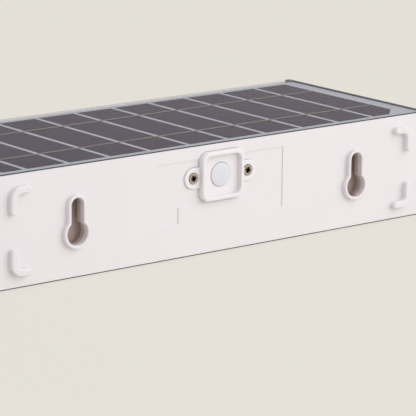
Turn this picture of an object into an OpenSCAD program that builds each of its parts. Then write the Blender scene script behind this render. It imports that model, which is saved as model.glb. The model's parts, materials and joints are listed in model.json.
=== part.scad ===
// Solar fence light: a white rear cover with two keyholes, a flat housing and a solar panel on top.
// Origin at the middle of the underside. X runs along the light, +Y points at the fence, +Z is up.

/* [Housing] */
// Length of the light
body_len = 178.8; // [160:0.1:230]
// Depth from the front lens to the rear cover's outer face
body_depth = 72.9; // [70:0.1:95]
// Height of the housing
body_h = 35.9; // [35:0.05:45]
// Thickness of the housing's walls and floor
wall = 2.1; // [1.8:0.1:2.6]
// Radius of the housing's upright corners
corner_r = 1; // [0.6:0.1:2]
// Height that the rim stands above the panel
rim_step = 0.2; // [0.1:0.05:0.5]
// Width of the rim at the housing's two ends
rim_w = 1; // [0.8:0.1:3]
// Width of the rim between the panel and the rear cover
rail_t = 0.9; // [0.8:0.1:1.6]
// Width of the ledge that carries the panel
ledge_w = 3.2; // [2.4:0.1:4]
// Thickness of that ledge
ledge_t = 1.8; // [1.4:0.1:2.4]
// Width of the posts behind the lens's ends
jamb_w = 2.5; // [1.5:0.1:4]
// Thickness of those posts
jamb_t = 2; // [1:0.1:3]
// Clearance between parts that are laid into each other
fit = 0.1; // [0.05:0.01:0.2]

/* [Rear cover] */
// Thickness of the rear cover
cover_t = 2.2; // [1.8:0.1:3]
// Part of that thickness that lies over the housing's edge
lap_t = 1.3; // [1.1:0.1:1.5]
// Thickness of the cover's upper edge, where the housing's rim is let into it
lip_t = 0.35; // [0.3:0.05:0.6]
// Dark edge of the housing left showing below and beside the cover
reveal = 0.7; // [0.3:0.05:1]
// Width of the shallow recess round the button
recess_w = 51.7; // [44:0.1:70]
// Height of that recess
recess_h = 19.9; // [18:0.1:21]
// Depth of that recess
recess_d = 0.3; // [0.2:0.05:0.5]
// Distance from the cover's top edge down to the recess
recess_drop = 4.2; // [3.5:0.1:5]
// Width of the level block in the recess
block_w = 33.4; // [20:0.1:40]
// Height of that block
block_h = 5.3; // [3:0.1:5.5]

/* [Corner ribs] */
// Height of the stand-off ribs
rib_h = 2; // [1.9:0.1:4]
// Width of a rib
rib_w = 2.4; // [1.5:0.1:3.5]
// Outer corner radius of a rib
rib_r = 4; // [3.6:0.1:5]
// Distance of the ribs from the housing's ends
rib_inset_x = 8.4; // [5:0.1:15]
// Distance of the ribs from the cover's upper and lower edges
rib_inset_z = 3.5; // [2:0.1:5]
// Length of a rib's arm along the light
rib_arm_x = 7.5; // [6.5:0.1:12]
// Length of a rib's upright arm
rib_arm_z = 8.8; // [7:0.1:11]

/* [Keyholes] */
// Distance between the two keyholes
key_spacing = 113; // [90:0.5:125]
// Radius of the round end, where the screw head goes in
key_r = 3.8; // [3.5:0.05:4.5]
// Width of the slot that the screw hangs in
key_slot_w = 4.5; // [3.5:0.1:5]
// Height of the round end's centre above the cover's lower edge
key_low = 13.9; // [13:0.1:16]
// Rise from the round end's centre to the slot's end centre
key_rise = 8.9; // [7:0.1:9]
// Width of the raised edge round a keyhole
key_rim_w = 1.1; // [0.8:0.05:1.6]
// Height of that raised edge
key_rim_h = 1.6; // [0.8:0.1:1.8]
// Depth from the raised edge to the pocket's floor
pocket_d = 5.7; // [5:0.1:8]
// Radius of the pocket behind the slot
pocket_r = 4.6; // [4.5:0.1:5.5]
// Thickness of the pocket's walls and floor
pocket_wall = 1.3; // [1:0.1:2]

/* [Button and bezel] */
// Distance from the cover's top edge down to the button's centre
button_drop = 10.1; // [10.1:0.1:10.8]
// Radius of the button
button_r = 3.75; // [3:0.05:4.5]
// Gap round the button
button_gap = 0.25; // [0.15:0.05:0.4]
// Height of the button's face above the cover's outer face
button_proud = 0.6; // [0.5:0.05:1.2]
// Rounding of the button's edge
button_edge_r = 0.5; // [0.3:0.05:0.6]
// Travel of the button
button_travel = 0.5; // [0.2:0.05:0.6]
// Thickness of the button's hidden flange
flange_t = 0.8; // [0.6:0.1:1]
// Width of that flange beyond the button
flange_w = 1.1; // [0.8:0.1:1.4]
// Radius of the button's stem
stem_r = 1.5; // [1.2:0.05:1.8]
// Width of the bezel
bezel_w = 17; // [16:0.1:17.2]
// Height of the bezel
bezel_h = 16; // [15:0.1:17]
// Height that the bezel stands out of the cover
bezel_rise = 1.9; // [1:0.1:1.9]
// Width of the bezel's rim
bezel_rim = 1.4; // [1:0.1:2]
// Outer corner radius of the bezel
bezel_r = 2.8; // [2.5:0.1:4]
// Thickness of the bezel's floor
bezel_floor_t = 0.9; // [0.8:0.1:1.2]
// Depth that the bezel is let into the cover
bezel_sink = 0.8; // [0.6:0.1:0.9]
// Distance between the two bezel screws
ear_spacing = 22; // [21.5:0.1:24]
// Radius of the screw ears
ear_r = 3.4; // [3:0.1:3.6]
// Height that the ears stand out of the cover
ear_rise = 0.3; // [0.2:0.05:0.8]
// Height that the bezel screws' heads stand above their ears
head_rise = 0.1; // [0:0.05:0.4]

/* [Screws] */
// Radius of a small screw's shank
screw_r = 1; // [0.8:0.05:1.2]
// Length of a small screw's shank
screw_len = 6; // [5:0.5:7]
// Radius of a screw's head
head_r = 1.75; // [1.6:0.05:2]
// Height of a screw's head
head_h = 0.8; // [0.7:0.1:0.9]
// Width of the cross recess
cross_w = 0.55; // [0.4:0.05:0.7]
// Length of the cross recess
cross_len = 2; // [1.6:0.1:2.4]
// Depth of the cross recess
cross_d = 0.6; // [0.4:0.1:0.7]
// Radial clearance of a shank in its pilot hole
pilot_gap = 0.04; // [0.02:0.01:0.08]
// Radial clearance of a shank in a plain hole
free_gap = 0.2; // [0.1:0.05:0.3]
// Wall of a screw boss
boss_wall = 1.5; // [1.2:0.1:2]

/* [Solar panel] */
// Number of silicon strips
cell_count = 11; // [6:1:14]
// Gap between strips
cell_gap = 1.55; // [0.8:0.05:2.5]
// Panel border at the rear
border_rear = 3.8; // [1.5:0.05:5]
// Panel border at the front
border_front = 2.2; // [1.5:0.05:4]
// Panel border at the +X end
border_plus = 3.35; // [1.5:0.05:6]
// Panel border at the -X end
border_minus = 5.7; // [1.5:0.05:7]
// How much narrower the two end strips are
end_trim = 1; // [0:0.1:3]
// Corner cut of the two end strips
cell_cut = 6; // [4:0.5:8]
// Thickness of a silicon strip
cell_t = 0.2; // [0.15:0.01:0.25]
// Width of a busbar ribbon
ribbon_w = 1.1; // [0.8:0.1:1.5]
// Thickness of a busbar ribbon
ribbon_t = 0.1; // [0.05:0.01:0.12]
// Thickness of the clear laminate, with what it covers
film_t = 0.45; // [0.4:0.05:0.6]
// Thickness of the panel's board
panel_t = 1.2; // [1:0.1:2]
// Thickness of the adhesive frame
tape_t = 0.3; // [0.2:0.05:0.5]

/* [Lens and light] */
// Thickness of the front lens
lens_t = 2; // [1.5:0.1:3]
// Depth of the lens's top edge
lens_edge = 3.05; // [2.9:0.05:4]
// Rounding of the lens's front edges
lens_r = 1; // [0.5:0.1:1.4]
// Thickness of the seal behind the lens
lens_seal_t = 0.3; // [0.2:0.05:0.6]
// Thickness of the reflector
reflector_t = 1.3; // [1:0.1:2]
// Depth of the reflector's trough
reflector_d = 17.5; // [14:0.5:18.5]
// Height of the reflector's back
reflector_back = 18; // [16:0.5:22]
// Number of light-emitting diodes
led_count = 12; // [6:2:12]
// Gap between the diodes' board and each end of the reflector
led_margin = 9.4; // [2:0.1:14]
// Length of a diode's package
led_len = 3.5; // [2.5:0.1:5]
// Height of a diode's package
led_w = 2.8; // [2:0.1:4]
// Thickness of a diode's package
led_t = 0.8; // [0.6:0.1:1.2]
// Height of the diodes' board
led_board_h = 12; // [10:0.5:14]
// Thickness of the diodes' board
led_board_t = 1; // [0.8:0.1:1.6]

/* [Battery] */
// Radius of the cell
cell_r = 9.2; // [8.8:0.1:9.4]
// Length of the cell
cell_len = 65; // [50:0.5:66]
// Gap between the cell and the housing's end
cell_end_gap = 4; // [3:0.5:8]
// Rearward shift of the cell
cell_back = 2; // [0:0.1:4]
// Height of the cell above the floor
cell_lift = 1; // [0.8:0.1:1.2]
// Thickness of the protection board
guard_t = 1.2; // [1:0.1:1.6]
// Width of the clamp over the cell
clamp_w = 10; // [8:0.5:14]
// Thickness of the clamp
clamp_t = 1.5; // [1.2:0.1:1.8]
// Length of each clamp foot
clamp_foot = 6; // [5.5:0.1:7]
// Thickness of a saddle under the cell
saddle_t = 1.8; // [1.4:0.1:2.4]
// Distance between the two saddles
saddle_spacing = 38; // [30:0.5:44]

/* [Electronics] */
// Width of the main board
board_w = 60; // [56:0.5:70]
// Height of the main board
board_h = 24.5; // [24:0.1:26]
// Thickness of the main board
board_t = 1.6; // [1:0.1:2]
// Inset of the board's screws from its edges
board_inset = 3.4; // [3:0.1:4]
// Side of the switch
switch_w = 6; // [5:0.1:7]
// Depth of the switch
switch_t = 3.5; // [3.1:0.1:4]
// Radius of the switch's plunger
plunger_r = 1.75; // [1.5:0.05:2]
// Length of the plunger that shows above the switch
plunger_out = 1.4; // [1:0.1:2]
// Length of the plunger inside the switch
plunger_in = 1.2; // [1:0.1:1.4]
// Distance between two plug positions
socket_pitch = 12.5; // [10:0.5:14]
// Gap between the cell's end and the first socket
socket_clear = 4; // [3:0.5:8]
// Width of a socket
socket_w = 7.4; // [6:0.1:9]
// Depth of a socket
socket_d = 5.5; // [4:0.1:6]
// Height of a socket
socket_h = 4.5; // [4:0.1:6]
// Length of a plug behind its socket
plug_d = 4; // [3:0.1:5]
// Radius of a lead
lead_r = 0.65; // [0.5:0.05:0.8]
// Distance between the two leads of a plug
lead_pitch = 2.5; // [2:0.1:3]

/* [Hidden] */
$fn = 48;

// How far a cut runs past the face that it opens
overrun = 1;

// Places along Y, from the fence side to the front
y_rib = (body_depth + rib_h) / 2;
y_wall = y_rib - rib_h;
y_end = y_wall - lap_t;
y_plug = y_wall - cover_t;
y_front = y_wall - body_depth;
y_lens = y_front + lens_t;
y_floor = y_lens + lens_seal_t;
y_rim = y_wall - lip_t - fit;
y_panel_rear = y_rim - rail_t - fit;
y_panel_front = y_front + lens_edge + fit;
y_ledge = y_end - rail_t - ledge_w;

// Places upwards
z_top = body_h;
z_panel = body_h - rim_step;
z_ledge = z_panel - film_t - panel_t - tape_t;
z_under = z_ledge - ledge_t;
cover_h = z_panel - reveal;
z_cover = reveal + cover_h / 2;

// Inner faces of the two ends
x_in = body_len / 2 - wall;
x_recess = body_len / 2 - rim_w;

// Outer corners of the ribs, from the middle of the cover
rib_x = body_len / 2 - rib_inset_x;
rib_z = cover_h / 2 - rib_inset_z;

// Keyhole heights and depths
z_key = reveal + key_low;
slot_r = key_slot_w / 2;
y_key = y_wall + key_rim_h;
y_pocket = y_key - pocket_d;

// Button, bezel and switch
z_button = z_panel - button_drop;
y_seat = y_wall - bezel_sink;
y_ear = y_wall + ear_rise;
y_face = y_wall + button_proud;
y_head = y_ear + head_rise - head_h;
flange_r = button_r + flange_w;
// Turn of the two crosses, in degrees
cross_turn = 20;
y_flange = y_seat - fit;
chamber_gap = 0.3;
seal_t = 1;
y_seal = y_flange - flange_t - button_travel - chamber_gap;
y_chamber = y_seal - seal_t;
chamber_floor = 1.4;
y_boss = y_chamber - chamber_floor;
chamber_r = flange_r + chamber_gap;
stem_gap = 0.05;
y_stem = y_boss - plunger_out + flange_t;
y_switch = y_stem - plunger_out;
y_board = y_switch - switch_t;
y_board_back = y_board - board_t;
board_gap = 0.2;
z_board = z_under - board_h / 2 - board_gap;

// Silicon strips, with the two end ones as if they weren't trimmed
panel_half = x_recess - fit;
strip_x0 = -panel_half + border_minus - end_trim;
strip_x1 = panel_half - border_plus + end_trim;
strip_pitch = (strip_x1 - strip_x0 + cell_gap) / cell_count;
strip_w = strip_pitch - cell_gap;
strip_y0 = y_panel_front + border_front;
strip_y1 = y_panel_rear - border_rear;
z_strip = z_panel - film_t;
ribbon_share = 0.25;
ribbon_over_share = 0.7;

// Light engine
z_light = (wall + z_under) / 2;
reflector_gap = 0.2;
y_mouth = y_floor + reflector_gap;
y_back = y_mouth + reflector_d;
y_led_board = y_back - reflector_t;
mouth_h = z_under - wall;
mouth_half = x_in - jamb_w - fit;
led_board_half = mouth_half - reflector_t - led_margin;
led_pitch = 2 * led_board_half / led_count;
led_screw_step = 4;
lead_window = 5;
lead_window_steps = 1.5;

// Battery
y_cell = cell_back;
z_cell = wall + cell_lift + cell_r;
x_cell_start = -x_in + cell_end_gap;
x_cell = x_cell_start + cell_len / 2;
x_cell_end = x_cell_start + cell_len;
cradle_gap = 0.1;
clamp_r = cell_r + cradle_gap;
clamp_boss_h = 3;
clamp_y = clamp_r + clamp_t + clamp_foot / 2;

// Sockets, plugs and leads
socket_low = 8;
x_socket = x_cell_end + guard_t + socket_clear + socket_w / 2;
z_socket = z_board - board_h / 2 + socket_low;
y_socket = y_board_back - socket_d;
y_plugs = y_socket - plug_d;
lead_rings = 18;
lead_sides = 8;
lead_reach = 8;
panel_lead_side = 14.5;
panel_lead_front = 6;

// Snap hooks of the rear cover
hook_clear = 2.7;
hook_w = 8;
hook_len = 7;
hook_t = 1.5;
hook_barb = 0.8;
hook_barb_len = 2;
hook_x = key_spacing / 2 + pocket_r + pocket_wall + hook_clear + hook_w / 2;
top_hook_len = y_plug - y_ledge + fit + hook_barb_len;

// Seal groove in the housing's rear edge
groove_w = 0.9;
groove_d = 0.7;

// Height above the board's middle at which its parts sit
parts_up = 4;
z_parts = z_board + parts_up;
// Size of the chip: along X, out of the board, upwards
chip = [6.2, 1.6, 5];
chip_inset = 8;
chip_x = -board_w / 2 + chip_inset;
inductor_r = 3.5;
inductor_h = 4;
inductor_step = 14;
inductor_x = chip_x + inductor_step;
// Size of the small chip parts, and the grid that they stand in
tiny = [2, 0.6, 1.25];
tiny_inset = 16;
tiny_x = board_w / 2 - tiny_inset;
tiny_step_x = 4;
tiny_step_z = 3;
tiny_columns = 3;
tiny_rows = 3;
capacitor_r = 2.5;
capacitor_h = 8;
capacitor_step = 4.5;
capacitor_x = tiny_x - capacitor_step;

module box(x0, x1, y0, y1, z0, z1) {
    translate([x0, y0, z0]) cube([x1 - x0, y1 - y0, z1 - z0]);
}

// A flat shape drawn in X and Z, given depth from y0 to y1
module slab(y0, y1) {
    translate([0, y1, 0]) rotate([90, 0, 0]) linear_extrude(height = y1 - y0) children();
}

// A flat shape drawn in Y and Z, given length from x0 to x1
module bar(x0, x1) {
    translate([x0, 0, 0]) rotate([90, 0, 90]) linear_extrude(height = x1 - x0) children();
}

module rod_y(x, z, y0, y1, r) {
    translate([x, y1, z]) rotate([90, 0, 0]) cylinder(h = y1 - y0, r = r);
}

module rounded(w, h, r) {
    square([w - 2 * r, h], center = true);
    square([w, h - 2 * r], center = true);
    for (sx = [-1, 1], sz = [-1, 1])
        translate([sx * (w / 2 - r), sz * (h / 2 - r)]) circle(r = r);
}

// Pan-head screw along +Y, its head's underside at the origin
module screw(len = screw_len) {
    difference() {
        union() {
            rod_y(0, 0, -len, 0, screw_r);
            rod_y(0, 0, 0, head_h, head_r);
        }
        for (turn = [0, 90])
            rotate([0, turn, 0])
                box(-cross_len / 2, cross_len / 2, head_h - cross_d, head_h + overrun,
                    -cross_w / 2, cross_w / 2);
    }
}

module keyhole(grow) {
    translate([0, z_key]) circle(r = key_r + grow);
    translate([0, z_key + key_rise]) circle(r = slot_r + grow);
    translate([-slot_r - grow, z_key]) square([2 * (slot_r + grow), key_rise]);
}

module stadium(r) {
    for (z = [z_key, z_key + key_rise]) translate([0, z]) circle(r = r);
    translate([-r, z_key]) square([2 * r, key_rise]);
}

// One corner rib, its outer corner at the origin and its arms towards -X and -Z
module corner_rib() {
    arm_x = rib_arm_x - rib_w / 2;
    arm_z = rib_arm_z - rib_w / 2;
    intersection() {
        translate([-rib_r, -rib_r]) difference() {
            circle(r = rib_r);
            circle(r = rib_r - rib_w);
        }
        translate([-rib_r, -rib_r]) square(rib_r);
    }
    translate([-arm_x, -rib_w]) square([arm_x - rib_r, rib_w]);
    translate([-rib_w, -arm_z]) square([rib_w, arm_z - rib_r]);
    translate([-arm_x, -rib_w / 2]) circle(r = rib_w / 2);
    translate([-rib_w / 2, -arm_z]) circle(r = rib_w / 2);
}

// Outline of the bezel with its ears
module bezel_outline(grow) {
    rounded(bezel_w + 2 * grow, bezel_h + 2 * grow, bezel_r + grow);
    square([ear_spacing, 2 * (ear_r + grow)], center = true);
    for (s = [-1, 1]) translate([s * ear_spacing / 2, 0]) circle(r = ear_r + grow);
}

// A round tube along a smooth curve between two points that it leaves straight
function curve_at(p, t) =
    pow(1 - t, 3) * p[0] + 3 * pow(1 - t, 2) * t * p[1] + 3 * (1 - t) * t * t * p[2] + pow(t, 3) * p[3];
function slope_at(p, t) =
    pow(1 - t, 2) * (p[1] - p[0]) + 2 * (1 - t) * t * (p[2] - p[1]) + t * t * (p[3] - p[2]);
function unit(v) = v / norm(v);

module lead(start, start_way, finish, finish_way, side) {
    p = [start, start + start_way * lead_reach, finish + finish_way * lead_reach, finish];
    points = [
        for (i = [0:lead_rings - 1])
            let (t = i / (lead_rings - 1), along = unit(slope_at(p, t)),
                u = unit(cross(along, side)), v = cross(along, u))
                for (j = [0:lead_sides - 1])
                    let (turn = 360 * j / lead_sides)
                        curve_at(p, t) + lead_r * (u * cos(turn) + v * sin(turn))
    ];
    sides = [
        for (i = [0:lead_rings - 2], j = [0:lead_sides - 1])
            let (a = i * lead_sides + j, b = i * lead_sides + (j + 1) % lead_sides)
                [a, a + lead_sides, b + lead_sides, b]
    ];
    first = [for (j = [0:lead_sides - 1]) j];
    last = [for (j = [lead_sides - 1:-1:0]) (lead_rings - 1) * lead_sides + j];
    polyhedron(points = points, faces = concat([first], sides, [last]), convexity = 4);
}

module frame_ring(x_out, z0_out, z1_out, x_hole, z0_hole, z1_hole, y0, y1) {
    difference() {
        box(-x_out, x_out, y0, y1, z0_out, z1_out);
        box(-x_hole, x_hole, y0 - overrun, y1 + overrun, z0_hole, z1_hole);
    }
}

module hook_places() {
    for (s = [-1, 1]) translate([s * hook_x, 0, 0]) children();
}

module body_shell() {
    opening_front = y_panel_front + ledge_w;
    y_jamb = y_floor + jamb_t;
    color("#4a474b") {
        difference() {
            union() {
                translate([0, (y_front + y_end) / 2, 0]) linear_extrude(height = z_top)
                    rounded(body_len, y_end - y_front, corner_r);
                // rim let into the cover's upper edge
                translate([0, (y_front + y_rim) / 2, z_ledge]) linear_extrude(height = z_top - z_ledge)
                    rounded(body_len, y_rim - y_front, corner_r);
            }
            // room for the lens between the side walls
            box(-x_in, x_in, y_front - overrun, y_floor, -overrun, z_top + overrun);
            // recess for the panel, and for the lens's top edge in front of it
            box(-x_recess, x_recess, y_panel_front - fit, y_rim - rail_t, z_ledge, z_top + overrun);
            box(-x_in, x_in, y_floor - overrun, y_panel_front, z_ledge, z_top + overrun);
            // inside, open to the rear
            box(-x_in, x_in, y_jamb, y_end + overrun, wall, z_under);
            // window behind the lens
            box(-x_in + jamb_w, x_in - jamb_w, y_floor - overrun, y_jamb + overrun, wall, z_under);
            // opening in the panel's ledge
            box(-x_in + ledge_w, x_in - ledge_w, opening_front, y_ledge, wall, z_ledge + overrun);
            // groove for the rear seal
            seal_ring(0, overrun);
            // pockets in the floor for the cover's lower hooks
            hook_places() box(-hook_w / 2 - fit, hook_w / 2 + fit, y_plug - hook_len - fit,
                y_plug - hook_len + hook_barb_len + fit, wall - hook_barb - fit, wall + overrun);
        }
        // saddles under the cell
        for (s = [-1, 1])
            translate([x_cell + s * saddle_spacing / 2, 0, 0]) bar(-saddle_t / 2, saddle_t / 2)
                difference() {
                    translate([y_cell - cell_r, wall]) square([2 * cell_r, cell_r - cell_lift]);
                    translate([y_cell, z_cell]) circle(r = clamp_r);
                }
        // bosses for the cell's clamp
        for (s = [-1, 1])
            translate([x_cell, y_cell + s * clamp_y, wall]) difference() {
                cylinder(h = clamp_boss_h, r = screw_r + boss_wall);
                cylinder(h = clamp_boss_h + overrun, r = screw_r + pilot_gap);
            }
        // stops behind the reflector
        for (s = [-1, 1])
            box(s * mouth_half / 2 - jamb_t / 2, s * mouth_half / 2 + jamb_t / 2, y_back, y_back + jamb_t,
                wall, z_light);
    }
}

// The ring of the rear seal, with more depth where the groove is cut
module seal_ring(gap, extra) {
    x_mid = x_in + (wall - reveal) / 2;
    z_low = (reveal + wall) / 2;
    z_high = (z_under + z_ledge) / 2;
    half = groove_w / 2 - gap;
    frame_ring(x_mid + half, z_low - half, z_high + half, x_mid - half, z_low + half, z_high - half,
        y_end - groove_d, y_end + extra);
}

module rear_seal() {
    color("#3a3a3c") seal_ring(fit / 2, 0);
}

module rear_cover() {
    board_x = board_w / 2 - board_inset;
    z_recess = z_panel - recess_drop - recess_h;
    color("#ebe5e7") {
        difference() {
            union() {
                slab(y_end, y_wall) translate([0, z_cover])
                    rounded(body_len - 2 * reveal, cover_h, corner_r);
                box(-x_in + fit, x_in - fit, y_plug, y_end, wall + fit, z_under - fit);
                for (s = [-1, 1]) translate([s * key_spacing / 2, 0, 0]) {
                    slab(y_wall, y_key) keyhole(key_rim_w);
                    slab(y_pocket - pocket_wall, y_plug) stadium(pocket_r + pocket_wall);
                }
                for (s = [0, 1], up = [0, 1])
                    mirror([s, 0, 0]) slab(y_wall, y_rib) translate([rib_x, z_cover])
                        mirror([0, up]) translate([0, rib_z]) corner_rib();
                // boss round the button's chamber, cut flat under the panel's ledge
                intersection() {
                    rod_y(0, z_button, y_boss, y_plug, chamber_r + boss_wall);
                    box(-x_in, x_in, y_boss, y_plug, wall + fit, z_under - fit);
                }
                for (s = [-1, 1])
                    rod_y(s * ear_spacing / 2, z_button, y_head - screw_len - boss_wall, y_plug,
                        screw_r + boss_wall);
                for (s = [-1, 1], up = [-1, 1])
                    rod_y(s * board_x, z_board + up * (board_h / 2 - board_inset), y_board, y_plug,
                        screw_r + boss_wall);
                hook_places() {
                    hook(hook_len);
                    translate([0, 0, wall + z_under]) mirror([0, 0, 1]) hook(top_hook_len);
                }
            }
            for (s = [-1, 1]) translate([s * key_spacing / 2, 0, 0]) {
                slab(y_pocket, y_key + overrun) keyhole(0);
                slab(y_pocket, y_plug) stadium(pocket_r);
            }
            // rebate for the housing's rim
            box(-body_len / 2, body_len / 2, y_end - overrun, y_rim + fit, z_ledge - fit, z_top);
            // recess with its level block
            difference() {
                box(-recess_w / 2, recess_w / 2, y_wall - recess_d, y_wall + overrun,
                    z_recess, z_recess + recess_h);
                box(-block_w / 2, block_w / 2, y_plug, y_wall + 2 * overrun, 0, z_recess + block_h);
            }
            slab(y_seat, y_wall + overrun) translate([0, z_button]) bezel_outline(fit);
            rod_y(0, z_button, y_chamber, y_wall, chamber_r);
            rod_y(0, z_button, y_boss - overrun, y_wall, stem_r + stem_gap);
            for (s = [-1, 1])
                rod_y(s * ear_spacing / 2, z_button, y_head - screw_len - fit, y_wall, screw_r + pilot_gap);
            for (s = [-1, 1], up = [-1, 1])
                rod_y(s * board_x, z_board + up * (board_h / 2 - board_inset), y_board - overrun,
                    y_board - board_t + screw_len + fit, screw_r + pilot_gap);
        }
    }
}

// One snap hook, drawn at the cover's lower edge
module hook(len) {
    y_tip = y_plug - len;
    box(-hook_w / 2, hook_w / 2, y_tip, y_plug, wall + fit, wall + fit + hook_t);
    bar(-hook_w / 2, hook_w / 2) polygon([
        [y_tip, wall + fit], [y_tip + hook_barb_len, wall + fit], [y_tip + hook_barb_len, wall - hook_barb]
    ]);
}

module panel_board() {
    color("#c6c6cc") box(-panel_half, panel_half, y_panel_front, y_panel_rear, z_strip - panel_t, z_strip);
}

module panel_tape() {
    color("#2b2b2d") difference() {
        box(-panel_half, panel_half, y_panel_front, y_panel_rear, z_ledge, z_ledge + tape_t);
        box(-x_in + ledge_w, x_in - ledge_w, y_panel_front + ledge_w, y_panel_rear - ledge_w,
            z_ledge - overrun, z_ledge + tape_t + overrun);
    }
}

// One strip, counted from the -X end
module strip(i) {
    x0 = strip_x0 + i * strip_pitch + (i == 0 ? end_trim : 0);
    x1 = strip_x0 + i * strip_pitch + strip_w - (i == cell_count - 1 ? end_trim : 0);
    cut_minus = i == 0 ? cell_cut : 0;
    cut_plus = i == cell_count - 1 ? cell_cut : 0;
    translate([0, 0, z_strip]) linear_extrude(height = cell_t) polygon([
        [x0, strip_y0], [x1, strip_y0], [x1, strip_y1 - cut_plus], [x1 - cut_plus, strip_y1],
        [x0 + cut_minus, strip_y1], [x0, strip_y1 - cut_minus]
    ]);
}

module solar_cells() {
    color("#58545c") for (i = [0:cell_count - 1]) strip(i);
}

module busbar_ribbons() {
    depth = strip_y1 - strip_y0;
    over = cell_gap * ribbon_over_share;
    color("#a09a94") for (i = [0:cell_count - 1], share = [ribbon_share, 1 - ribbon_share])
        translate([strip_x0 + i * strip_pitch, strip_y0 + depth * share - ribbon_w / 2, z_strip + cell_t])
            box(i == 0 ? end_trim : 0, strip_w + (i < cell_count - 1 ? over : -end_trim), 0, ribbon_w,
                0, ribbon_t);
}

module panel_film() {
    color("#dfe6ee", 0.3) difference() {
        box(-panel_half, panel_half, y_panel_front, y_panel_rear, z_strip, z_panel);
        solar_cells();
        busbar_ribbons();
    }
}

module front_lens() {
    half = x_in - fit;
    color("#e4e4ea", 0.9) bar(-half, half) {
        // front plate with rounded front edges
        translate([y_front, reveal + lens_r]) square([lens_t, z_panel - reveal - 2 * lens_r]);
        for (z = [reveal + lens_r, z_panel - lens_r]) translate([y_front + lens_r, z]) circle(r = lens_r);
        translate([y_front + lens_r, reveal]) square([lens_t - lens_r, z_panel - reveal]);
        // top edge beside the panel
        translate([y_front + lens_r, z_ledge + fit]) square([lens_edge - lens_r, z_panel - z_ledge - fit]);
    }
}

module lens_seal() {
    color("#d8d8d8") frame_ring(x_in - fit, reveal, z_ledge, x_in - jamb_w, wall, z_under, y_lens, y_floor);
}

module reflector() {
    back = reflector_back / 2;
    mouth = mouth_h / 2;
    color("#f2f2f0") {
        difference() {
            union() {
                bar(-mouth_half, mouth_half) polygon([
                    [y_back, z_light - back], [y_back, z_light + back], [y_mouth, z_light + mouth],
                    [y_mouth, z_light + mouth - reflector_t], [y_led_board, z_light + back - reflector_t],
                    [y_led_board, z_light - back + reflector_t], [y_mouth, z_light - mouth + reflector_t],
                    [y_mouth, z_light - mouth]
                ]);
                for (s = [0, 1]) mirror([s, 0, 0]) bar(mouth_half - reflector_t, mouth_half) polygon([
                    [y_back, z_light - back], [y_back, z_light + back],
                    [y_mouth, z_light + mouth], [y_mouth, z_light - mouth]
                ]);
                led_screw_places()
                    rod_y(0, 0, y_back, y_led_board - led_board_t + screw_len, screw_r + boss_wall);
            }
            led_screw_places()
                rod_y(0, 0, y_led_board - overrun, y_back + screw_len, screw_r + pilot_gap);
            // window for the diodes' leads
            translate([lead_window_steps * led_pitch, 0, z_light])
                box(-lead_window / 2, lead_window / 2, y_led_board - overrun, y_back + overrun,
                    -lead_window / 2, lead_window / 2);
        }
    }
}

module led_screw_places() {
    for (s = [-1, 0, 1]) translate([s * led_screw_step * led_pitch, 0, z_light]) children();
}

module led_board() {
    color("#f4f4f0") difference() {
        box(-led_board_half, led_board_half, y_led_board - led_board_t, y_led_board,
            z_light - led_board_h / 2, z_light + led_board_h / 2);
        led_screw_places()
            rod_y(0, 0, y_led_board - led_board_t - overrun, y_led_board + overrun, screw_r + free_gap);
    }
}

module led_chips() {
    y1 = y_led_board - led_board_t;
    color("#f0d878") for (i = [0:led_count - 1])
        translate([(i - (led_count - 1) / 2) * led_pitch, 0, z_light])
            box(-led_len / 2, led_len / 2, y1 - led_t, y1, -led_w / 2, led_w / 2);
}

module led_screws() {
    color("silver") led_screw_places()
        translate([0, y_led_board - led_board_t, 0]) mirror([0, 1, 0]) screw();
}

module button_bezel() {
    color("#ece7e9") difference() {
        translate([0, 0, z_button]) {
            slab(y_seat, y_seat + bezel_floor_t) rounded(bezel_w, bezel_h, bezel_r);
            slab(y_seat, y_ear) difference() {
                bezel_outline(0);
                rounded(bezel_w - bezel_rim, bezel_h - bezel_rim, bezel_r);
            }
            slab(y_seat, y_wall + bezel_rise) difference() {
                rounded(bezel_w, bezel_h, bezel_r);
                rounded(bezel_w - 2 * bezel_rim, bezel_h - 2 * bezel_rim, bezel_r - bezel_rim / 2);
            }
        }
        rod_y(0, z_button, y_seat - overrun, y_rib, button_r + button_gap);
        for (s = [-1, 1]) {
            rod_y(s * ear_spacing / 2, z_button, y_seat - overrun, y_rib, screw_r + free_gap);
            rod_y(s * ear_spacing / 2, z_button, y_head, y_rib, head_r + fit);
        }
    }
}

module bezel_screws() {
    color("#a89f92") for (s = [-1, 1])
        translate([s * ear_spacing / 2, y_head, z_button]) rotate([0, s * cross_turn, 0]) screw();
}

// Drawn upright and laid along +Y
module push_button() {
    color("#e6ecf4") translate([0, 0, z_button]) rotate([-90, 0, 0]) {
        translate([0, 0, y_flange]) cylinder(h = y_face - button_edge_r - y_flange, r = button_r);
        rotate_extrude() {
            translate([0, y_face - button_edge_r]) square([button_r - button_edge_r, button_edge_r]);
            intersection() {
                translate([button_r - button_edge_r, y_face - button_edge_r]) circle(r = button_edge_r);
                translate([0, y_face - button_edge_r]) square([button_r, button_edge_r]);
            }
        }
        translate([0, 0, y_flange - flange_t]) cylinder(h = flange_t, r = flange_r);
        translate([0, 0, y_stem]) cylinder(h = y_flange - y_stem, r = stem_r);
    }
}

module button_seal() {
    color("#c8c8c8") difference() {
        rod_y(0, z_button, y_chamber, y_seal, chamber_r - fit);
        rod_y(0, z_button, y_chamber - overrun, y_seal + overrun, stem_r + stem_gap);
    }
}

module main_board() {
    color("#2f6b3f") difference() {
        box(-board_w / 2, board_w / 2, y_board_back, y_board, z_board - board_h / 2, z_board + board_h / 2);
        for (s = [-1, 1], up = [-1, 1])
            rod_y(s * (board_w / 2 - board_inset), z_board + up * (board_h / 2 - board_inset),
                y_board_back - overrun, y_board + overrun, screw_r + free_gap);
    }
}

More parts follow.
